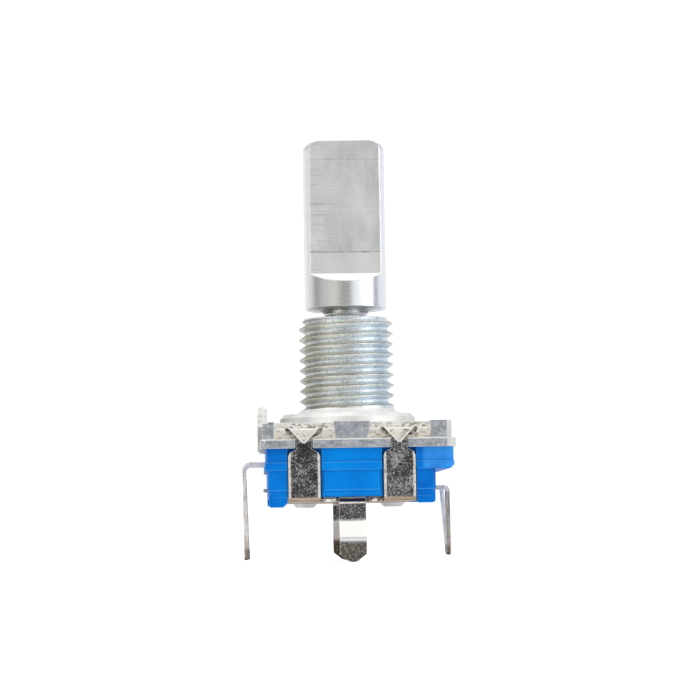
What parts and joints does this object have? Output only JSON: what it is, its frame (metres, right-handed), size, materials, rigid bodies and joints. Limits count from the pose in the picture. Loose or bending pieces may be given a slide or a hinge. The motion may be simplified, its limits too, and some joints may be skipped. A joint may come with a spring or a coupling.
{
  "type": "rotary encoder",
  "caption": "Vertical rotary encoder with push switch: flatted shaft, threaded metal bushing, blue plastic body, clawed mounting plate with snap-in lugs, bent terminals.",
  "frame": {"origin": "on the shaft's axis at the mounting face, the top of the round boss at the bushing's foot", "axes": "+Z along the shaft towards its tip; -Y the side the shaft's flat faces; -X the side with the three encoder terminals; +X the side with the two switch terminals"},
  "size_m": [0.0152, 0.0132, 0.0307],
  "materials": {
    "turned_aluminium": "turned, with a milled flat",
    "zinc": "bright plated zinc die casting",
    "nickel_plate": "nickel-plated sheet steel",
    "tinned_brass": "tin-plated",
    "contact_brass": "bright phosphor bronze",
    "spring_steel": "bright spring steel",
    "blue_plastic": "moulded, satin",
    "rotor_plastic": "moulded, natural",
    "clear_film": "thin film"
  },
  "bodies": {
    "housing": {"bushing_flange": "zinc", "encoder_base": "blue_plastic", "switch_base": "blue_plastic", "mounting_plate": "nickel_plate", "terminal_a": "tinned_brass", "terminal_c": "tinned_brass", "terminal_b": "tinned_brass", "terminal_d": "tinned_brass", "terminal_e": "tinned_brass", "wiper_a": "contact_brass", "wiper_c": "contact_brass", "wiper_b": "contact_brass", "detent_spring": "spring_steel", "snap_dome": "spring_steel", "dome_film": "clear_film"},
    "rotor": {"rotor": "rotor_plastic", "code_disc": "contact_brass"},
    "shaft": {"shaft": "turned_aluminium", "retaining_ring": "spring_steel"},
    "plunger": {"plunger": "rotor_plastic"}
  },
  "joints": [
    {"name": "shaft_turn", "type": "hinge", "parent": "housing", "child": "rotor", "pos_m": [0, 0, -0.003], "axis": [0, 0, 1], "continuous": true},
    {"name": "shaft_push", "type": "slide", "parent": "rotor", "child": "shaft", "axis": [0, 0, -1], "range_m": [0, 0.0005], "stiffness_N_per_m": 6000, "springref_m": -0.0002, "deforming": ["snap_dome", "dome_film"]},
    {"name": "plunger_push", "type": "slide", "parent": "housing", "child": "plunger", "axis": [0, 0, -1], "range_m": [0, 0.0005]}
  ],
  "couplings": [
    {"joint": "plunger_push", "follows": "shaft_push", "ratio": 1}
  ]
}
